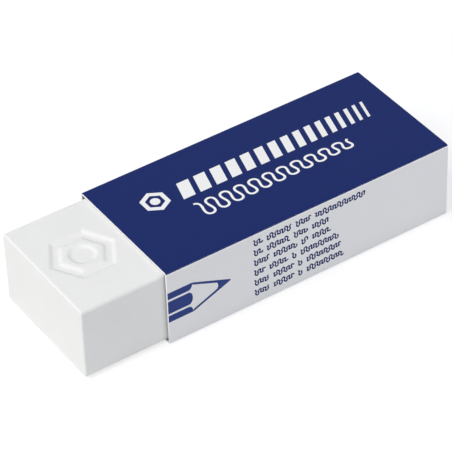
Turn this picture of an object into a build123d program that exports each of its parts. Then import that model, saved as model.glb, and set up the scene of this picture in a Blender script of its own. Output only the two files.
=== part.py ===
from build123d import *
import math
import os

# A block eraser in its folded card sleeve, in millimetres.
# +X runs along the block towards the end that stays inside the sleeve, and the bare
# end points to -X. +Z is up. The origin is under the middle of the whole object, on
# the surface that it rests on.

# ---- driving dimensions ------------------------------------------------------------

# moulded vinyl block
block_length = 65.0
block_width = 22.8
block_height = 13.2
block_side_radius = 0.7         # the four long edges
block_end_radius = 0.35         # the edges round each end face

# folded card sleeve
sleeve_length = 53.2
card = 0.38                     # thickness of the board
fold_inner_radius = 0.12        # how tight the board is creased
lap_height = 8.5                # glued lap, up the inside of the back panel
lap_end_angle = 18.0            # the lap's two ends are cut back by this angle
lap_end_setback = 0.8           # and start this far in from the sleeve's ends
back_edge_gap = 0.12            # back panel's raw edge stops this far above that fold

# how the block sits in the sleeve
bare_length = 14.7              # how much of the block stands out of the sleeve
clear_above = 0.10
clear_below = 0.05
clear_front = 0.26
clear_back = 0.05               # to the glued lap

# mark sunk in the top of the block: a hexagon ring round a round core, like the
# end of a pencil
mark_across_corners = 11.6
mark_band = 1.9
mark_core_radius = 2.3
mark_depth = 0.35
mark_wall_slope = 35.0          # degrees from upright, so that it leaves the mould
mark_centre_from_end = 7.4

# ---- sizes that follow -------------------------------------------------------------

overall_length = bare_length + sleeve_length
mouth_x = -overall_length / 2 + bare_length
far_x = overall_length / 2
block_x = -overall_length / 2

sleeve_width = block_width + clear_front + clear_back + 3 * card
sleeve_height = block_height + clear_above + clear_below + 2 * card
fold_outer_radius = fold_inner_radius + card
block_back_y = sleeve_width / 2 - 2 * card - clear_back
block_mid_y = block_back_y - block_width / 2
block_base_z = card + clear_below
block_top_z = block_base_z + block_height


# ---- sleeve ------------------------------------------------------------------------

def fold_outline():
    """Middle line of the board in the sleeve's cross section, from the raw edge of
    the back panel round to the fold that turns up into the glued lap. Sketch x is
    the object's Y, and sketch y is its Z."""
    bend = fold_inner_radius + card / 2
    back = sleeve_width / 2 - card / 2
    lap = back - card
    front = -back
    top = sleeve_height - card / 2
    base = card / 2
    around = FilletPolyline(
        (back, fold_outer_radius + back_edge_gap),
        (back, top),
        (front, top),
        (front, base),
        (lap - bend, base),
        radius=bend,
    )
    turn_up = RadiusArc((lap - bend, base), (lap, base + bend), -bend)
    return Curve() + [around, turn_up]


def make_lap():
    """The lap, flat against the inside of the back panel, with its ends cut back."""
    inner_y = sleeve_width / 2 - 2 * card
    top_z = card / 2 + lap_height
    run = (top_z - fold_outer_radius) * math.tan(math.radians(lap_end_angle))
    outline = Polyline(
        (mouth_x + lap_end_setback, fold_outer_radius),
        (far_x - lap_end_setback, fold_outer_radius),
        (far_x - lap_end_setback - run, top_z),
        (mouth_x + lap_end_setback + run, top_z),
        close=True,
    )
    lap = extrude(make_face(Plane.XZ * outline), amount=card, dir=(0, 1, 0))
    return Pos(0, inner_y, 0) * lap


def make_sleeve():
    """One strip of board, creased four times and glued along a lap at the back."""
    section = trace(fold_outline(), line_width=card)
    strip = extrude(Plane.YZ * section, amount=sleeve_length, dir=(1, 0, 0))
    return Pos(mouth_x, 0, 0) * strip + make_lap()


# ---- block -------------------------------------------------------------------------

def mark_tool():
    """Solid that sinks the mark: a tapered hexagon ring with a tapered core in it."""
    middle = Pos(block_x + mark_centre_from_end, block_mid_y, block_top_z)
    outer = mark_across_corners / 2
    inner = outer - mark_band / math.cos(math.radians(30))
    ring = RegularPolygon(outer, 6) - RegularPolygon(inner, 6)
    core = Circle(mark_core_radius)
    sunk = extrude(middle * ring, amount=mark_depth, dir=(0, 0, -1), taper=mark_wall_slope)
    sunk += extrude(middle * core, amount=mark_depth, dir=(0, 0, -1), taper=mark_wall_slope)
    return sunk


def make_block():
    """The moulded vinyl block, with soft edges and a mark sunk in its bare end."""
    middle = Pos(
        block_x + block_length / 2,
        block_mid_y,
        block_base_z + block_height / 2,
    )
    block = middle * Box(block_length, block_width, block_height)
    block = fillet(block.edges().filter_by(Axis.X), block_side_radius)
    ends = block.faces().filter_by(Axis.X)
    block = fillet(ends.edges(), block_end_radius)
    return block - mark_tool()


# ---- parts -------------------------------------------------------------------------

parts = {
    "eraser_block": make_block(),
    "card_sleeve": make_sleeve(),
}

os.makedirs("parts", exist_ok=True)
for name, shape in parts.items():
    export_step(shape, f"parts/{name}.step")
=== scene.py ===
import math

import bmesh
import bpy
from bpy.props import FloatProperty, FloatVectorProperty, IntProperty, PointerProperty
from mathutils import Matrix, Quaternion, Vector


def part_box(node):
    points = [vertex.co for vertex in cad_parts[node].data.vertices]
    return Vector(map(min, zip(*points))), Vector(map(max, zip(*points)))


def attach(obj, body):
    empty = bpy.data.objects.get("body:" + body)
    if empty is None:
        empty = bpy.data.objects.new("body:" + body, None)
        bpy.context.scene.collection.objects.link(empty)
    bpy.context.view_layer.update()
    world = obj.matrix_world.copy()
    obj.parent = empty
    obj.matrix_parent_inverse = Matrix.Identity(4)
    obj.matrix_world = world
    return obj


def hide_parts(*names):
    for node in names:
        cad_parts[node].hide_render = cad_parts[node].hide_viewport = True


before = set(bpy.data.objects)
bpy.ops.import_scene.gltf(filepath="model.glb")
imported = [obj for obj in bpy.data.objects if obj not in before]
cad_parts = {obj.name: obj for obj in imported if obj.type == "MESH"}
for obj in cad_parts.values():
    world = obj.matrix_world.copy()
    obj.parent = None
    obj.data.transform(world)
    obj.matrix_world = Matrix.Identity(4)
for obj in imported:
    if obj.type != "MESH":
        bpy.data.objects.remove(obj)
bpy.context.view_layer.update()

bl_info = {
    "name": "Block eraser in a card sleeve",
    "version": (1, 0, 0),
    "blender": (4, 5, 0),
    "location": "View3D > Sidebar > Eraser",
    "description": "Models a vinyl block eraser, its folded card sleeve, the printing and a studio",
    "category": "Object",
}

MM = 0.001
BLOCK_LOW, BLOCK_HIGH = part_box("eraser_block")
SLEEVE_LOW, SLEEVE_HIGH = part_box("card_sleeve")
NEAR = 0.004 * MM               # two places this close are the same place
SMOOTH_BELOW = 40               # degrees between faces that are shaded as one surface
MIX_A, MIX_B, MIX_OUT = 6, 7, 2     # a Mix node's sockets when it mixes colours


# ---- colours and nodes ------------------------------------------------------------


def linear(code):
    """sRGB hex code to the linear red, green, blue and alpha that Blender works in."""
    channels = [int(code[i:i + 2], 16) / 255 for i in (0, 2, 4)]
    return tuple(
        c / 12.92 if c <= 0.04045 else ((c + 0.055) / 1.055) ** 2.4 for c in channels
    ) + (1.0,)


def scaled(colour, factor):
    """A linear colour made lighter or darker, with its alpha kept."""
    return tuple(channel * factor for channel in colour[:3]) + (1.0,)


def add_node(tree, kind, inputs=None, **settings):
    """Adds one node: settings are its own properties, inputs its values or links."""
    made = tree.nodes.new(kind)
    for key, value in settings.items():
        setattr(made, key, value)
    for key, value in (inputs or {}).items():
        if isinstance(value, bpy.types.NodeSocket):
            tree.links.new(value, made.inputs[key])
        else:
            made.inputs[key].default_value = value
    return made


def new_material(name):
    """An empty node material, found again by name if it was made before."""
    material = bpy.data.materials.get(name) or bpy.data.materials.new(name)
    material.use_nodes = True
    material.node_tree.nodes.clear()
    return material, material.node_tree


# ---- properties -------------------------------------------------------------------


def length(name, description, millimetres):
    """A size property, given in millimetres and held in metres."""
    return FloatProperty(
        name=name,
        description=description,
        default=millimetres * MM,
        min=0.0,
        unit="LENGTH",
        precision=5,
    )


def colour(name, description, code):
    """A colour property, given as an sRGB hex code."""
    return FloatVectorProperty(
        name=name,
        description=description,
        default=linear(code),
        size=4,
        min=0.0,
        max=1.0,
        subtype="COLOR",
    )


class ERASER_PG_block(bpy.types.PropertyGroup):
    side_radius: length("Side radius", "Rounding of the four long edges", 0.7)
    end_radius: length("End radius", "Rounding of the edges round each end", 0.32)
    mark_across: length("Mark", "Hexagon mark, across its corners", 11.6)
    mark_band: length("Mark band", "Width of the hexagon's ring", 1.9)
    mark_core: length("Mark core", "Radius of the round core", 2.3)
    mark_depth: length("Mark depth", "How deep the mark is sunk", 0.35)
    mark_inset: length("Mark place", "From the bare end to the mark's middle", 7.4)
    mark_softness: length("Mark softness", "Rounding of the mark's edges", 0.28)
    vinyl: colour("Vinyl", "Colour of the moulded vinyl", "F4F4F1")


class ERASER_PG_sleeve(bpy.types.PropertyGroup):
    card: length("Card", "Thickness of the board", 0.38)
    crease: length("Crease", "Inner radius of each fold", 0.12)
    lap: length("Lap", "Height of the glued lap inside the back", 8.5)
    board: colour("Board", "Coated white side of the board", "F5F5F5")
    ink: colour("Ink", "Dark blue offset ink", "122664")
    raw: colour("Raw edge", "Cut edge of the board", "FEFEFE")
    # painted shade: the inside's grey is partly the board's own colour and partly set darker so
    # that the gap at the mouth looks darker
    inside: colour("Inside", "Uncoated grey side of the board", "B4B0A9")


class ERASER_PG_print(bpy.types.PropertyGroup):
    film: length("Film", "How far the printing stands above the board", 0.012)
    white: colour("White", "Unprinted board that shows through the blue", "FCFCFA")
    pencil: colour("Pencil", "Lighter blue of the pencil sign", "2E4285")
    bars: IntProperty(
        name="Bars",
        description="Number of slanted bars on the top panel",
        default=16,
        min=2,
        max=40,
    )
    bar_height: length("Bar height", "Height of the row of bars", 3.9)
    widest_bar: length("Widest bar", "Width of the first bar", 2.2)
    thinnest_bar: length("Thinnest bar", "Width of the last bar", 0.5)
    scribble: length("Scribble", "Thickness of the scribbled line on the top", 0.42)
    note: length("Note", "Thickness of the small scribbles on the side", 0.27)


class ERASER_PG_stage(bpy.types.PropertyGroup):
    ambient: FloatProperty(
        name="Ambient",
        description="Strength of the even light from all round",
        default=0.34,
        min=0.0,
    )
    key: FloatProperty(
        name="Key lamp",
        description="Power of the large soft lamp on the left",
        default=5.4,
        min=0.0,
        subtype="POWER",
        unit="POWER",
    )
    fill: FloatProperty(
        name="Fill lamp",
        description="Power of the small soft lamp at the right front",
        default=0.12,
        min=0.0,
        subtype="POWER",
        unit="POWER",
    )
    floor: colour("Floor", "White paper under the object", "E8E8E8")


# ---- modelling helpers ------------------------------------------------------------


def fresh_start():
    """Leaves edit mode and deselects everything, so that an operator meets only its own."""
    if bpy.context.object and bpy.context.object.mode != "OBJECT":
        bpy.ops.object.mode_set(mode="OBJECT")
    bpy.ops.object.select_all(action="DESELECT")


def only(obj):
    """Makes one object the selected and active one."""
    fresh_start()
    obj.select_set(True)
    bpy.context.view_layer.objects.active = obj


def pick(obj, kind, test):
    """In edit mode, selects the vertices, edges or faces that pass a test."""
    bpy.ops.mesh.select_mode(type=kind)
    bpy.ops.mesh.select_all(action="DESELECT")
    mesh = bmesh.from_edit_mesh(obj.data)
    parts = {"VERT": mesh.verts, "EDGE": mesh.edges, "FACE": mesh.faces}[kind]
    for part in parts:
        if test(part):
            part.select_set(True)
    mesh.select_flush_mode()
    bmesh.update_edit_mesh(obj.data)


def apply_all(obj):
    """Applies every modifier on an object, in order."""
    only(obj)
    for modifier in list(obj.modifiers):
        bpy.ops.object.modifier_apply(modifier=modifier.name)


def settle(obj, name, body):
    """Names a finished piece, puts its place in its mesh, and joins it to a body."""
    only(obj)
    bpy.ops.object.transform_apply(location=True, rotation=True, scale=True)
    obj.name = name
    obj.data.name = name
    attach(obj, body)


def crisp_flats(obj):
    """Smooth shading over rounded edges, with the flat faces left flat."""
    only(obj)
    bpy.ops.object.shade_smooth_by_angle(angle=math.radians(SMOOTH_BELOW))
    weighted = obj.modifiers.new("Flats", "WEIGHTED_NORMAL")
    weighted.keep_sharp = True
    apply_all(obj)


# ---- materials --------------------------------------------------------------------


def moulded_vinyl(base):
    """Plasticised vinyl filled with chalk, pressed in a smooth mould: white, satin,
    faintly clouded, and a little light soaks in at the edges."""
    cloud = 5.0 * MM            # soft patches where filler and oil differ
    bloom = 0.9 * MM            # the powdery bloom on the skin
    grain = 0.16 * MM           # the mould's grain, drawn coarser than life to show
    material, tree = new_material("Moulded_Vinyl")
    place = add_node(tree, "ShaderNodeTexCoord").outputs["Object"]
    clouds = add_node(
        tree,
        "ShaderNodeTexNoise",
        {"Vector": place, "Scale": 1 / cloud, "Detail": 3.0, "Roughness": 0.5},
    )
    blooms = add_node(
        tree,
        "ShaderNodeTexNoise",
        {"Vector": place, "Scale": 1 / bloom, "Detail": 4.0, "Roughness": 0.6},
    )
    both = add_node(
        tree,
        "ShaderNodeMath",
        {0: clouds.outputs["Fac"], 1: blooms.outputs["Fac"]},
        operation="ADD",
    )
    share = add_node(
        tree,
        "ShaderNodeMapRange",
        {"Value": both.outputs[0], "From Min": 0.7, "From Max": 1.3},
    )
    tint = add_node(
        tree,
        "ShaderNodeMix",
        {0: share.outputs[0], MIX_A: scaled(base, 0.975), MIX_B: tuple(base)},
        data_type="RGBA",
    )
    satin = add_node(
        tree,
        "ShaderNodeMapRange",
        {"Value": blooms.outputs["Fac"], "To Min": 0.5, "To Max": 0.64},
    )
    grains = add_node(
        tree,
        "ShaderNodeTexNoise",
        {"Vector": place, "Scale": 1 / grain, "Detail": 2.0},
    )
    bump = add_node(
        tree,
        "ShaderNodeBump",
        {"Height": grains.outputs["Fac"], "Strength": 0.25, "Distance": 0.02 * MM},
    )
    skin = add_node(
        tree,
        "ShaderNodeBsdfPrincipled",
        {
            "Base Color": tint.outputs[MIX_OUT],
            "Roughness": satin.outputs[0],
            "Normal": bump.outputs[0],
            "IOR": 1.53,
            "Specular IOR Level": 0.3,
            "Subsurface Weight": 0.06,
            "Subsurface Radius": (1.0, 0.9, 0.8),
            "Subsurface Scale": 0.5 * MM,
        },
    )
    add_node(tree, "ShaderNodeOutputMaterial", {"Surface": skin.outputs[0]})
    return material


def coated_board(name, base):
    """Clay-coated bleached board: smooth, faintly blue white, with the cloudy fibre
    under the coating just telling in its gloss."""
    fibre = 1.3 * MM            # clumps of fibre under the coating
    tooth = 0.22 * MM           # the coating's tooth, drawn coarser than life to show
    material, tree = new_material(name)
    place = add_node(tree, "ShaderNodeTexCoord").outputs["Object"]
    fibres = add_node(
        tree,
        "ShaderNodeTexNoise",
        {"Vector": place, "Scale": 1 / fibre, "Detail": 4.0, "Roughness": 0.6},
    )
    tint = add_node(
        tree,
        "ShaderNodeMix",
        {0: fibres.outputs["Fac"], MIX_A: scaled(base, 0.97), MIX_B: tuple(base)},
        data_type="RGBA",
    )
    gloss = add_node(
        tree,
        "ShaderNodeMapRange",
        {"Value": fibres.outputs["Fac"], "To Min": 0.42, "To Max": 0.56},
    )
    teeth = add_node(
        tree,
        "ShaderNodeTexNoise",
        {"Vector": place, "Scale": 1 / tooth, "Detail": 3.0},
    )
    bump = add_node(
        tree,
        "ShaderNodeBump",
        {"Height": teeth.outputs["Fac"], "Strength": 0.2, "Distance": 0.015 * MM},
    )
    coat = add_node(
        tree,
        "ShaderNodeBsdfPrincipled",
        {
            "Base Color": tint.outputs[MIX_OUT],
            "Roughness": gloss.outputs[0],
            "Normal": bump.outputs[0],
            "IOR": 1.5,
            "Specular IOR Level": 0.25,
        },
    )
    add_node(tree, "ShaderNodeOutputMaterial", {"Surface": coat.outputs[0]})
    return material


def offset_ink(name, base, board):
    """Blue offset ink on coated board: an even matt field, with a faint print mottle
    and the odd fleck where a fold has cracked it."""
    mottle = 0.8 * MM           # uneven take-up of ink
    fleck = 0.09 * MM           # cracks along a fold
    worn = 0.12 * MM            # how far from a fold's outermost line they reach
    material, tree = new_material(name)
    place = add_node(tree, "ShaderNodeTexCoord").outputs["Object"]
    mottles = add_node(
        tree,
        "ShaderNodeTexNoise",
        {"Vector": place, "Scale": 1 / mottle, "Detail": 4.0, "Roughness": 0.6},
    )
    field = add_node(
        tree,
        "ShaderNodeMix",
        {0: mottles.outputs["Fac"], MIX_A: scaled(base, 0.9), MIX_B: scaled(base, 1.1)},
        data_type="RGBA",
    )
    axes = add_node(tree, "ShaderNodeSeparateXYZ", {0: place})
    side = add_node(
        tree,
        "ShaderNodeMath",
        {0: axes.outputs["Y"]},
        operation="ABSOLUTE",
    )
    past_middle = add_node(
        tree,
        "ShaderNodeMath",
        {0: axes.outputs["Z"], 1: (SLEEVE_LOW.z + SLEEVE_HIGH.z) / 2},
        operation="SUBTRACT",
    )
    up_or_down = add_node(
        tree,
        "ShaderNodeMath",
        {0: past_middle.outputs[0]},
        operation="ABSOLUTE",
    )
    both_ways = add_node(
        tree,
        "ShaderNodeMath",
        {0: side.outputs[0], 1: up_or_down.outputs[0]},
        operation="ADD",
    )
    corner = SLEEVE_HIGH.y + (SLEEVE_HIGH.z - SLEEVE_LOW.z) / 2 - 0.3 * MM
    at_fold = add_node(
        tree,
        "ShaderNodeMapRange",
        {
            "Value": both_ways.outputs[0],
            "From Min": corner - worn,
            "From Max": corner,
        },
    )
    flecks = add_node(
        tree,
        "ShaderNodeTexNoise",
        {"Vector": place, "Scale": 1 / fleck, "Detail": 2.0},
    )
    cracked = add_node(
        tree,
        "ShaderNodeMath",
        {0: at_fold.outputs[0], 1: flecks.outputs["Fac"]},
        operation="MULTIPLY",
    )
    shown = add_node(
        tree,
        "ShaderNodeMapRange",
        {"Value": cracked.outputs[0], "From Min": 0.5, "From Max": 0.62, "To Max": 0.15},
    )
    worn_field = add_node(
        tree,
        "ShaderNodeMix",
        {0: shown.outputs[0], MIX_A: field.outputs[MIX_OUT], MIX_B: tuple(board)},
        data_type="RGBA",
    )
    gloss = add_node(
        tree,
        "ShaderNodeMapRange",
        {"Value": mottles.outputs["Fac"], "To Min": 0.44, "To Max": 0.6},
    )
    bump = add_node(
        tree,
        "ShaderNodeBump",
        {"Height": mottles.outputs["Fac"], "Strength": 0.15, "Distance": 0.02 * MM},
    )
    ink = add_node(
        tree,
        "ShaderNodeBsdfPrincipled",
        {
            "Base Color": worn_field.outputs[MIX_OUT],
            "Roughness": gloss.outputs[0],
            "Normal": bump.outputs[0],
            "IOR": 1.5,
            "Specular IOR Level": 0.12,
        },
    )
    add_node(tree, "ShaderNodeOutputMaterial", {"Surface": ink.outputs[0]})
    return material


def raw_edge(base):
    """Board cut by a die: bare fibres, bright, soft and quite matt."""
    strand = 0.1 * MM           # single fibre bundles in the cut
    material, tree = new_material("Cut_Board_Edge")
    place = add_node(tree, "ShaderNodeTexCoord").outputs["Object"]
    strands = add_node(
        tree,
        "ShaderNodeTexNoise",
        {"Vector": place, "Scale": 1 / strand, "Detail": 3.0, "Roughness": 0.7},
    )
    tint = add_node(
        tree,
        "ShaderNodeMix",
        {0: strands.outputs["Fac"], MIX_A: scaled(base, 0.88), MIX_B: tuple(base)},
        data_type="RGBA",
    )
    matt = add_node(
        tree,
        "ShaderNodeMapRange",
        {"Value": strands.outputs["Fac"], "To Min": 0.8, "To Max": 0.95},
    )
    bump = add_node(
        tree,
        "ShaderNodeBump",
        {"Height": strands.outputs["Fac"], "Strength": 0.6, "Distance": 0.04 * MM},
    )
    cut = add_node(
        tree,
        "ShaderNodeBsdfPrincipled",
        {
            "Base Color": tint.outputs[MIX_OUT],
            "Roughness": matt.outputs[0],
            "Normal": bump.outputs[0],
            "Specular IOR Level": 0.1,
        },
    )
    add_node(tree, "ShaderNodeOutputMaterial", {"Surface": cut.outputs[0]})
    return material


def grey_board_with_gap_shade(base):
    """The board's uncoated side: a warmer, rougher grey-white with fibres lying along the
    way the web ran. Its grey is partly the board's own colour and partly painted shade, set darker
    so that the gap at the sleeve's mouth looks darker."""
    strand = 0.35 * MM          # width of the fibre clumps
    drawn_out = 6.0             # how many times longer than wide they are
    material, tree = new_material("Uncoated_Board_Gap_Shade")
    place = add_node(tree, "ShaderNodeTexCoord").outputs["Object"]
    along = add_node(
        tree,
        "ShaderNodeMapping",
        {"Vector": place, "Scale": (1 / drawn_out, 1.0, 1.0)},
    )
    strands = add_node(
        tree,
        "ShaderNodeTexNoise",
        {"Vector": along.outputs[0], "Scale": 1 / strand, "Detail": 4.0},
    )
    tint = add_node(
        tree,
        "ShaderNodeMix",
        {0: strands.outputs["Fac"], MIX_A: scaled(base, 0.86), MIX_B: tuple(base)},
        data_type="RGBA",
    )
    matt = add_node(
        tree,
        "ShaderNodeMapRange",
        {"Value": strands.outputs["Fac"], "To Min": 0.75, "To Max": 0.92},
    )
    bump = add_node(
        tree,
        "ShaderNodeBump",
        {"Height": strands.outputs["Fac"], "Strength": 0.5, "Distance": 0.03 * MM},
    )
    felt = add_node(
        tree,
        "ShaderNodeBsdfPrincipled",
        {
            "Base Color": tint.outputs[MIX_OUT],
            "Roughness": matt.outputs[0],
            "Normal": bump.outputs[0],
            "Specular IOR Level": 0.15,
        },
    )
    add_node(tree, "ShaderNodeOutputMaterial", {"Surface": felt.outputs[0]})
    return material


# ---- the block --------------------------------------------------------------------


def tapered_ring(middle, outer, inner, corners, depth, lead, slope):
    """Cutter for a sunk ring, or for a sunk disc where inner is 0. Its walls lean in
    by slope (run over depth, at the corners), from lead above the surface."""
    fresh_start()
    turn = math.radians(30) if corners == 6 else 0      # a hexagon's corners on the X axis
    radii = [outer] + ([inner] if inner else [])
    made = []
    for radius, way in zip(radii, (1, -1)):
        bpy.ops.mesh.primitive_circle_add(
            vertices=corners,
            radius=radius + way * lead * slope,
            fill_type="NOTHING" if inner else "NGON",
            location=middle + Vector((0, 0, lead)),
            rotation=(0, 0, turn),
        )
        made.append(bpy.context.object)
    for obj in made:
        obj.select_set(True)
    bpy.context.view_layer.objects.active = made[0]
    if inner:
        bpy.ops.object.join()
    cutter = bpy.context.object
    bpy.ops.object.transform_apply(location=True, rotation=True, scale=True)
    bpy.ops.object.mode_set(mode="EDIT")
    bpy.ops.mesh.select_all(action="SELECT")
    if inner:
        bpy.ops.mesh.bridge_edge_loops()
        bpy.ops.mesh.select_all(action="SELECT")
    drop = depth + lead
    bpy.ops.mesh.extrude_region_move(TRANSFORM_OT_translate={"value": (0, 0, -drop)})
    floor_z = middle.z - depth
    between = (outer + inner) / 2
    for radius, way in zip(radii, (1, -1)):

        def on_this_loop(vert, way=way):
            away = (vert.co.xy - middle.xy).length
            return abs(vert.co.z - floor_z) < NEAR and (away > between) == (way == 1)

        pick(cutter, "VERT", on_this_loop)
        now = radius + way * lead * slope
        then = radius - way * depth * slope
        factor = then / now
        bpy.ops.transform.resize(value=(factor, factor, 1), center_override=middle)
    bpy.ops.mesh.select_all(action="SELECT")
    bpy.ops.mesh.normals_make_consistent(inside=False)
    bpy.ops.object.mode_set(mode="OBJECT")
    return cutter


class ERASER_OT_block(bpy.types.Operator):
    """Models the vinyl block with its rounded edges and the mark sunk in its top"""

    bl_idname = "eraser.block"
    bl_label = "Vinyl block"

    def execute(self, context):
        sizes = context.scene.eraser_block
        size = BLOCK_HIGH - BLOCK_LOW
        middle = (BLOCK_HIGH + BLOCK_LOW) / 2
        fresh_start()
        bpy.ops.mesh.primitive_cube_add(size=1, location=middle)
        block = context.object
        bpy.ops.object.transform_apply(location=True, rotation=True, scale=True)
        bpy.ops.object.mode_set(mode="EDIT")
        bpy.ops.transform.resize(value=size, center_override=middle)

        def runs_lengthwise(edge):
            return abs(edge.verts[0].co.x - edge.verts[1].co.x) > size.x / 2

        def rounds_an_end(edge):
            first, second = (vert.co.x for vert in edge.verts)
            outermost = min(abs(first - BLOCK_LOW.x), abs(first - BLOCK_HIGH.x))
            return abs(first - second) < NEAR and outermost < NEAR

        pick(block, "EDGE", runs_lengthwise)
        bpy.ops.mesh.bevel(offset=sizes.side_radius, segments=6, affect="EDGES")
        pick(block, "EDGE", rounds_an_end)
        bpy.ops.mesh.bevel(offset=sizes.end_radius, segments=5, affect="EDGES")
        bpy.ops.object.mode_set(mode="OBJECT")

        self.sink_mark(block, sizes, middle)
        crisp_flats(block)
        block.data.materials.clear()
        block.data.materials.append(moulded_vinyl(sizes.vinyl))
        settle(block, "moulded_block", "block")
        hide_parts("eraser_block")
        return {"FINISHED"}

    def sink_mark(self, block, sizes, middle):
        """Cuts the hexagon ring and its core, then softens their edges."""
        slope = math.tan(math.radians(57))      # gentle walls, so that the mark looks soft
        lead = 0.2 * MM                         # how far the cutters start above the top
        centre = Vector((BLOCK_LOW.x + sizes.mark_inset, middle.y, BLOCK_HIGH.z))
        outer = sizes.mark_across / 2
        inner = outer - sizes.mark_band / math.cos(math.radians(30))    # band at its flats
        rings = (
            tapered_ring(centre, outer, inner, 6, sizes.mark_depth, lead, slope),
            tapered_ring(centre, sizes.mark_core, 0, 64, sizes.mark_depth, lead, slope),
        )
        for ring in rings:
            cut = block.modifiers.new("Mark", "BOOLEAN")
            cut.operation = "DIFFERENCE"
            cut.solver = "EXACT"
            cut.object = ring
            apply_all(block)
            bpy.data.objects.remove(ring)
        soften = block.modifiers.new("Soften", "BEVEL")
        soften.width = sizes.mark_softness
        soften.segments = 4
        soften.limit_method = "ANGLE"
        soften.angle_limit = math.radians(25)
        apply_all(block)


# ---- the sleeve -------------------------------------------------------------------


class ERASER_OT_sleeve(bpy.types.Operator):
    """Folds the card sleeve, panel by panel, from the back's raw edge to the lap"""

    bl_idname = "eraser.sleeve"
    bl_label = "Card sleeve"

    def execute(self, context):
        sizes = context.scene.eraser_sleeve
        sleeve = self.fold(sizes)
        board = coated_board("Coated_Board", sizes.board)
        ink = offset_ink("Navy_Offset_Ink", sizes.ink, sizes.board)
        # the inside board's grey is partly painted shade for the gap at the mouth
        inside = grey_board_with_gap_shade(sizes.inside)
        raw = raw_edge(sizes.raw)
        for material in (board, ink, inside, inside, raw, raw):
            sleeve.data.materials.append(material)
        self.paint_panels(sleeve)

        walls = sleeve.modifiers.new("Card", "SOLIDIFY")
        walls.thickness = sizes.card
        walls.offset = 0
        walls.use_even_offset = True
        walls.material_offset = 2
        walls.material_offset_rim = 4
        cut = sleeve.modifiers.new("Cut edges", "BEVEL")
        cut.width = 0.03 * MM   # the die leaves its edges barely rounded
        cut.segments = 2
        cut.limit_method = "ANGLE"
        cut.angle_limit = math.radians(60)
        apply_all(sleeve)
        crisp_flats(sleeve)
        settle(sleeve, "folded_sleeve", "sleeve")
        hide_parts("card_sleeve")
        return {"FINISHED"}

    def fold(self, sizes):
        """The board's middle surface: five panels with a quarter turn between them."""
        card = sizes.card
        bend = sizes.crease + card / 2
        outer_bend = sizes.crease + card
        raw_gap = 0.12 * MM     # between the back's raw edge and the lap's fold
        glue = 0.01 * MM        # between the lap and the back panel
        start_z = SLEEVE_LOW.z + outer_bend + raw_gap
        width = SLEEVE_HIGH.y - SLEEVE_LOW.y
        height = SLEEVE_HIGH.z - SLEEVE_LOW.z
        back_y = SLEEVE_HIGH.y - card / 2
        runs = (
            SLEEVE_HIGH.z - outer_bend - start_z,
            width - 2 * outer_bend,
            height - 2 * outer_bend,
            width - 2 * outer_bend - card - glue,
            sizes.lap - sizes.crease - card / 2,
        )

        fresh_start()
        middle_x = (SLEEVE_LOW.x + SLEEVE_HIGH.x) / 2
        centre = Vector((middle_x, back_y, start_z + runs[0] / 2))
        bpy.ops.mesh.primitive_plane_add(
            size=1,
            location=centre,
            rotation=(math.radians(90), 0, 0),
        )
        sleeve = bpy.context.object
        bpy.ops.object.transform_apply(location=True, rotation=True, scale=True)
        bpy.ops.object.mode_set(mode="EDIT")
        bpy.ops.transform.resize(
            value=(SLEEVE_HIGH.x - SLEEVE_LOW.x, 1, runs[0]),
            center_override=centre,
        )
        point = Vector((middle_x, back_y, start_z + runs[0]))
        heading = Vector((0, 0, 1))
        for run in runs[1:]:
            inward = Vector((0, -heading.z, heading.y))
            hub = point + inward * bend
            self.pick_free_edge(sleeve, point)
            bpy.ops.mesh.spin(
                steps=8,
                angle=math.radians(-90),
                center=hub,
                axis=(1, 0, 0),
            )
            point = hub + heading * bend
            heading = inward
            self.pick_free_edge(sleeve, point)
            bpy.ops.mesh.extrude_region_move(
                TRANSFORM_OT_translate={"value": heading * run}
            )
            point = point + heading * run
        self.cut_back_lap(sleeve, point, sizes)
        bpy.ops.mesh.select_all(action="SELECT")
        bpy.ops.mesh.remove_doubles(threshold=NEAR)
        bpy.ops.mesh.normals_make_consistent(inside=False)
        bpy.ops.object.mode_set(mode="OBJECT")
        topmost = max(sleeve.data.polygons, key=lambda face: face.center.z)
        if topmost.normal.z < 0:
            sleeve.data.flip_normals()
        return sleeve

    def pick_free_edge(self, sleeve, point):
        """Selects the edge that the next panel or fold grows from."""

        def here(vert):
            return (vert.co.yz - point.yz).length < NEAR

        pick(sleeve, "VERT", here)

    def cut_back_lap(self, sleeve, point, sizes):
        """Leans the lap's two ends in, so that it doesn't show past the back panel."""
        lean = math.radians(18)
        setback = 0.8 * MM      # of the lap's ends from the sleeve's, at its fold
        self.pick_free_edge(sleeve, point)
        length_now = SLEEVE_HIGH.x - SLEEVE_LOW.x
        inset = setback + sizes.lap * math.tan(lean)
        factor = (length_now - 2 * inset) / length_now
        bpy.ops.transform.resize(value=(factor, 1, 1), center_override=point)

    def paint_panels(self, sleeve):
        """Blue on the two wide panels, reaching about half way round their folds."""
        facing = 0.62           # height of the normal where the blue ends on a fold
        for face in sleeve.data.polygons:
            inked = abs(face.normal.z) > facing
            face.material_index = 1 if inked else 0


# ---- the printing -----------------------------------------------------------------


def flat_shape(loops, thickness):
    """A thin closed plate in the XY plane from outlines: each loop is a list of
    points, and a loop inside another is a hole."""
    fresh_start()
    curve = bpy.data.curves.new("outline", "CURVE")
    curve.dimensions = "2D"
    curve.fill_mode = "BOTH"
    curve.extrude = thickness / 2
    for loop in loops:
        spline = curve.splines.new("POLY")
        spline.points.add(len(loop) - 1)
        for point, place in zip(spline.points, loop):
            point.co = (place[0], place[1], 0, 1)
        spline.use_cyclic_u = True
    plate = bpy.data.objects.new("outline", curve)
    bpy.context.scene.collection.objects.link(plate)
    return made_mesh(plate)


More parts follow.
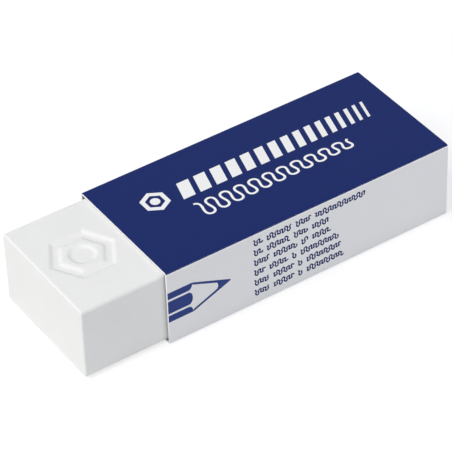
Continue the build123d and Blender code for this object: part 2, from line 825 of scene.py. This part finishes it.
def flat_stroke(points, width, thickness):
    """A thin rounded line through points in the XY plane, like a pen's."""
    fresh_start()
    curve = bpy.data.curves.new("stroke", "CURVE")
    curve.dimensions = "3D"
    curve.bevel_depth = width / 2
    curve.bevel_resolution = 2
    curve.use_fill_caps = True
    spline = curve.splines.new("POLY")
    spline.points.add(len(points) - 1)
    for point, place in zip(spline.points, points):
        point.co = (place[0], place[1], 0, 1)
    stroke = bpy.data.objects.new("stroke", curve)
    bpy.context.scene.collection.objects.link(stroke)
    stroke = made_mesh(stroke)
    only(stroke)
    bpy.ops.object.mode_set(mode="EDIT")
    bpy.ops.mesh.select_all(action="SELECT")
    bpy.ops.transform.resize(value=(1, 1, thickness / width), center_override=(0, 0, 0))
    bpy.ops.object.mode_set(mode="OBJECT")
    return stroke


def made_mesh(obj):
    """Turns a curve into a closed mesh with its faces outwards."""
    only(obj)
    bpy.ops.object.convert(target="MESH")
    obj = bpy.context.object
    bpy.ops.object.mode_set(mode="EDIT")
    bpy.ops.mesh.select_all(action="SELECT")
    bpy.ops.mesh.remove_doubles(threshold=NEAR / 4)
    bpy.ops.mesh.normals_make_consistent(inside=False)
    bpy.ops.object.mode_set(mode="OBJECT")
    return obj


def lay_on_panel(shapes, name, panel, material):
    """Joins flat shapes and lays them on a panel. On the top panel X and Y are kept;
    on the front one the shapes' Y becomes height."""
    fresh_start()
    for shape in shapes:
        shape.select_set(True)
    bpy.context.view_layer.objects.active = shapes[0]
    if len(shapes) > 1:
        bpy.ops.object.join()
    piece = bpy.context.object
    if panel == "top":
        piece.location = (SLEEVE_LOW.x, 0, SLEEVE_HIGH.z)
    else:
        piece.rotation_euler = (math.radians(90), 0, 0)
        piece.location = (SLEEVE_LOW.x, SLEEVE_LOW.y, SLEEVE_LOW.z)
    piece.data.materials.clear()
    piece.data.materials.append(material)
    bpy.ops.object.shade_smooth_by_angle(angle=math.radians(SMOOTH_BELOW))
    settle(piece, name, "sleeve")
    return piece


def hexagon(centre, radius):
    """The six corners of a hexagon that stands on a corner."""
    corners = []
    for step in range(6):
        angle = math.radians(60 * step + 30)
        corners.append((
            centre[0] + radius * math.cos(angle),
            centre[1] + radius * math.sin(angle),
        ))
    return corners


def arc(centre, radii, start, end, steps):
    """Points along part of an ellipse, angles in degrees."""
    points = []
    for step in range(steps + 1):
        angle = math.radians(start + (end - start) * step / steps)
        points.append((
            centre[0] + radii[0] * math.cos(angle),
            centre[1] + radii[1] * math.sin(angle),
        ))
    return points


def scribble(start_x, end_x, level, swing, wave, unevenness=0.0):
    """Points of a looping pen line. swing gives its first and last half height, wave
    the length of one swing, and unevenness how much single swings differ."""
    points_per_wave = 20
    overhang = 0.16 * wave      # how far each loop leans over its neighbours
    odd_beat = 1.7              # waves between high swings, so that none repeat
    first_beat = 900 * start_x  # and each line starts elsewhere in that beat
    count = round((end_x - start_x) / wave * points_per_wave)
    points = []
    for step in range(count + 1):
        share = step / count
        phase = 2 * math.pi * share * (end_x - start_x) / wave
        reach = swing[0] + (swing[1] - swing[0]) * share
        reach *= 1 + unevenness * math.sin(odd_beat * phase + first_beat)
        lean = overhang * math.sin(2 * phase)
        points.append((
            start_x + (end_x - start_x) * share + lean,
            level + reach * math.cos(phase),
        ))
    return points


class ERASER_OT_top_print(bpy.types.Operator):
    """Lays the white hexagon, the row of slanted bars and the scribble on the top"""

    bl_idname = "eraser.top_print"
    bl_label = "Top printing"

    def execute(self, context):
        sizes = context.scene.eraser_print
        white = coated_board("Board_Left_Unprinted", sizes.white)
        thickness = 2 * sizes.film
        pieces = {
            "top_mark": self.pencil_end(thickness),
            "top_bars": self.row_of_bars(sizes, thickness),
            "top_scribble": self.pen_line(sizes, thickness),
        }
        for name, shapes in pieces.items():
            lay_on_panel(shapes, name, "top", white)
        return {"FINISHED"}

    def pen_line(self, sizes, thickness):
        """A pen line whose swing dies down along the row."""
        start_x, end_x = 12.5 * MM, 41.5 * MM
        level = -2.45 * MM
        swing = (1.75 * MM, 1.05 * MM)
        wave = 2.65 * MM
        line = scribble(start_x, end_x, level, swing, wave)
        return [flat_stroke(line, sizes.scribble, thickness)]

    def pencil_end(self, thickness):
        """A hexagon ring round a round core, like a pencil seen end on."""
        centre = (8.1 * MM, 3.35 * MM)
        ring_outer, ring_inner, lead = 2.45 * MM, 1.6 * MM, 0.82 * MM
        ring = [hexagon(centre, ring_outer), hexagon(centre, ring_inner)]
        core = [arc(centre, (lead, lead), 0, 350, 35)]
        return [flat_shape(ring, thickness), flat_shape(core, thickness)]

    def row_of_bars(self, sizes, thickness):
        """Bars of equal gap that grow thinner, like a line being rubbed out."""
        start_x, end_x = 12.0 * MM, 48.9 * MM
        base_y = 1.15 * MM
        slant = 0.28 * sizes.bar_height
        steps = sizes.bars - 1
        widths = [
            sizes.widest_bar + (sizes.thinnest_bar - sizes.widest_bar) * step / steps
            for step in range(sizes.bars)
        ]
        gap = (end_x - start_x - slant - sum(widths)) / steps
        shapes = []
        at = start_x
        for width in widths:
            outline = [
                (at, base_y),
                (at + width, base_y),
                (at + width + slant, base_y + sizes.bar_height),
                (at + slant, base_y + sizes.bar_height),
            ]
            shapes.append(flat_shape([outline], thickness))
            at += width + gap
        return shapes


class ERASER_OT_side_print(bpy.types.Operator):
    """Lays the pencil sign and the six rows of small scribbles on the front side"""

    bl_idname = "eraser.side_print"
    bl_label = "Side printing"

    def execute(self, context):
        sizes = context.scene.eraser_print
        sleeve = context.scene.eraser_sleeve
        navy = offset_ink("Navy_Offset_Ink", sleeve.ink, sleeve.board)
        blue = offset_ink("Blue_Offset_Ink", sizes.pencil, sleeve.board)
        thickness = 2 * sizes.film
        lay_on_panel(self.pencil(thickness), "side_pencil", "front", blue)
        lay_on_panel(self.notes(sizes, thickness), "side_notes", "front", navy)
        return {"FINISHED"}

    def pencil(self, thickness):
        """A plain pencil that comes in from the sleeve's mouth: three faces of its
        barrel, the sharpened cone in outline, and the lead."""
        level = 7.35 * MM       # height of the pencil's middle line
        half = 2.9 * MM         # half the barrel's height
        mouth = 0.02 * MM
        shoulder = 4.5 * MM     # where the sharpening starts
        tip = 11.45 * MM
        middle_half = 1.2 * MM
        line = 0.42 * MM        # white lines between the faces
        outline = 0.42 * MM     # the cone's drawn edge
        lead = 8.7 * MM         # where the lead begins
        swell = 0.75 * MM       # how far a face's end bulges

        middle = [(mouth, level - middle_half)]
        middle += arc((shoulder - swell, level), (swell, middle_half), -90, 90, 16)
        middle += [(mouth, level + middle_half)]
        shapes = [flat_shape([middle], thickness)]
        for way in (1, -1):
            inner = level + way * (middle_half + line)
            outer = level + way * half
            start = -90 * way
            face = [(mouth, inner)]
            centre = (shoulder - swell, level + way * half)
            face += arc(centre, (swell, half - middle_half - line), start, 0, 8)
            face += [(mouth, outer)]
            shapes.append(flat_shape([face], thickness))

        steepness = half / (tip - shoulder)
        nib = 0.16 * MM
        hair = 0.02 * MM        # keeps the cone and the faces from overlapping
        at_lead = (tip - lead) * steepness - outline
        cone = [(shoulder + hair, level + half)]
        cone += arc((tip - nib, level), (nib, nib), 65, -65, 6)
        cone += [
            (shoulder + hair, level - half),
            (shoulder + hair, level - half + outline),
            (lead, level - at_lead),
        ]
        cone += arc((lead, level), (0.45 * MM, at_lead), -60, 60, 8)
        cone += [
            (lead, level + at_lead),
            (shoulder + hair, level + half - outline),
        ]
        shapes.append(flat_shape([cone], thickness))
        return shapes

    def notes(self, sizes, thickness):
        """Six rows of small wavy lines in word-like lengths, in place of small print."""
        start_x = 15.8 * MM
        pitch = 2.0 * MM        # from row to row
        first_level = 12.25 * MM
        swing = 0.43 * MM
        wave = 0.92 * MM
        gap = 0.85 * MM
        unevenness = 0.35
        rows = (                # lengths of the words in each row, in millimetres
            (1.6, 4.6, 2.8, 9.6),
            (1.6, 4.2, 2.6, 3.2),
            (2.8, 4.4, 1.2, 3.4),
            (2.0, 3.4, 0.8, 7.2),
            (2.7, 3.8, 0.8, 6.5),
            (2.7, 3.8, 0.8, 7.0),
        )
        shapes = []
        for row, words in enumerate(rows):
            level = first_level - row * pitch
            at = start_x
            for word in words:
                end = at + word * MM
                line = scribble(at, end, level, (swing, swing), wave, unevenness)
                shapes.append(flat_stroke(line, sizes.note, thickness))
                at = end + gap
        return shapes


# ---- the studio -------------------------------------------------------------------


def seen_directly(tree):
    """Output that is 1 for rays from the camera, a reflection or through glass."""
    rays = add_node(tree, "ShaderNodeLightPath")
    seen = add_node(
        tree,
        "ShaderNodeMath",
        {0: rays.outputs["Is Camera Ray"], 1: rays.outputs["Is Glossy Ray"]},
        operation="MAXIMUM",
    )
    seen = add_node(
        tree,
        "ShaderNodeMath",
        {0: seen.outputs[0], 1: rays.outputs["Is Transmission Ray"]},
        operation="MAXIMUM",
    )
    return seen.outputs[0]


def studio_white(base):
    """White paper: it takes the object's shadow, and reads as a plain white ground."""
    seen_white = 1.36           # with the paper's own light this comes to just over 1
    share_seen = 0.5            # how much of what is seen is that plain white
    material, tree = new_material("Studio_Paper")
    share = add_node(
        tree,
        "ShaderNodeMath",
        {0: seen_directly(tree), 1: share_seen},
        operation="MULTIPLY",
    )
    paper = add_node(
        tree,
        "ShaderNodeBsdfPrincipled",
        {"Base Color": tuple(base), "Roughness": 0.9, "Specular IOR Level": 0.1},
    )
    glow = add_node(
        tree,
        "ShaderNodeEmission",
        {"Color": (1, 1, 1, 1), "Strength": seen_white},
    )
    mixed = add_node(
        tree,
        "ShaderNodeMixShader",
        {0: share.outputs[0], 1: paper.outputs[0], 2: glow.outputs[0]},
    )
    add_node(tree, "ShaderNodeOutputMaterial", {"Surface": mixed.outputs[0]})
    return material


def studio_air(world, ambient):
    """Even, slightly blue light from all round, seen by the camera as plain white."""
    world.use_nodes = True
    tree = world.node_tree
    tree.nodes.clear()
    light = add_node(
        tree,
        "ShaderNodeBackground",
        {"Color": (0.88, 0.915, 1.07, 1), "Strength": ambient},
    )
    white = add_node(
        tree,
        "ShaderNodeBackground",
        {"Color": (1, 1, 1, 1), "Strength": 1.0},
    )
    mixed = add_node(
        tree,
        "ShaderNodeMixShader",
        {0: seen_directly(tree), 1: light.outputs[0], 2: white.outputs[0]},
    )
    add_node(tree, "ShaderNodeOutputWorld", {"Surface": mixed.outputs[0]})


def soft_lamp(name, place, size, power, tint):
    """A square area lamp that looks at the object's middle."""
    aim = Vector((0, 0, 7 * MM))
    fresh_start()
    bpy.ops.object.light_add(type="AREA", location=place)
    lamp = bpy.context.object
    lamp.name = name
    lamp.data.size = size
    lamp.data.energy = power
    lamp.data.color = tint
    lamp.rotation_euler = (aim - Vector(place)).to_track_quat("-Z", "Y").to_euler()


class ERASER_OT_stage(bpy.types.Operator):
    """Sets the white floor, the soft lamps and the camera"""

    bl_idname = "eraser.stage"
    bl_label = "Studio stage"

    def execute(self, context):
        settings = context.scene.eraser_stage
        fresh_start()
        drop = 0.02 * MM        # keeps the floor clear of the sleeve's underside
        bpy.ops.mesh.primitive_plane_add(size=12, location=(0, 0, -drop))
        floor = context.object
        floor.name = "studio_floor"
        floor.data.materials.append(studio_white(settings.floor))
        world = context.scene.world or bpy.data.worlds.new("Studio")
        context.scene.world = world
        studio_air(world, settings.ambient)
        warm, plain = (1, 0.99, 0.945), (1, 1, 1)
        left_above, right_front = (-0.51, -0.02, 0.69), (0.19, -0.22, 0.08)
        soft_lamp("key_lamp", left_above, 0.5, settings.key, warm)
        soft_lamp("fill_lamp", right_front, 0.1, settings.fill, plain)
        self.place_camera(context)
        context.scene.view_settings.view_transform = "Standard"
        return {"FINISHED"}

    def place_camera(self, context):
        """A long lens, well above the object and to the left of its printed side."""
        azimuth = math.radians(-32.87)
        elevation = math.radians(39.71)
        roll = math.radians(-2.1)
        distance = 431.0 * MM
        aim = Vector((-0.76 * MM, -0.47 * MM, 6.67 * MM))
        away = Vector((
            math.sin(azimuth) * math.cos(elevation),
            -math.cos(azimuth) * math.cos(elevation),
            math.sin(elevation),
        ))
        bpy.ops.object.camera_add(location=aim + away * distance)
        camera = context.object
        camera.name = "camera"
        camera.data.sensor_width = 36
        camera.data.lens = 218.9
        camera.data.clip_start = 0.01
        camera.data.clip_end = 50
        look = (-away).to_track_quat("-Z", "Y")
        camera.rotation_euler = (Quaternion(away, roll) @ look).to_euler()
        context.scene.camera = camera


# ---- panel and registering --------------------------------------------------------


class ERASER_PT_panel(bpy.types.Panel):
    """Lists the steps that make the eraser"""

    bl_idname = "ERASER_PT_panel"
    bl_label = "Eraser"
    bl_space_type = "VIEW_3D"
    bl_region_type = "UI"
    bl_category = "Eraser"

    def draw(self, context):
        layout = self.layout
        scene = context.scene
        for group in GROUPS:
            settings = getattr(scene, group)
            box = layout.box()
            for key in settings.__annotations__:
                box.prop(settings, key)
        for step in STEPS:
            layout.operator(step.bl_idname)


GROUPS = {
    "eraser_block": ERASER_PG_block,
    "eraser_sleeve": ERASER_PG_sleeve,
    "eraser_print": ERASER_PG_print,
    "eraser_stage": ERASER_PG_stage,
}
STEPS = (
    ERASER_OT_stage,
    ERASER_OT_block,
    ERASER_OT_sleeve,
    ERASER_OT_top_print,
    ERASER_OT_side_print,
)


def register():
    for group, settings in GROUPS.items():
        bpy.utils.register_class(settings)
        setattr(bpy.types.Scene, group, PointerProperty(type=settings))
    for step in STEPS:
        bpy.utils.register_class(step)
    bpy.utils.register_class(ERASER_PT_panel)


def unregister():
    bpy.utils.unregister_class(ERASER_PT_panel)
    for step in reversed(STEPS):
        bpy.utils.unregister_class(step)
    for group, settings in reversed(GROUPS.items()):
        delattr(bpy.types.Scene, group)
        bpy.utils.unregister_class(settings)


def main():
    register()
    bpy.ops.eraser.stage()
    bpy.ops.eraser.block()
    bpy.ops.eraser.sleeve()
    bpy.ops.eraser.top_print()
    bpy.ops.eraser.side_print()


if __name__ == "__main__":
    main()
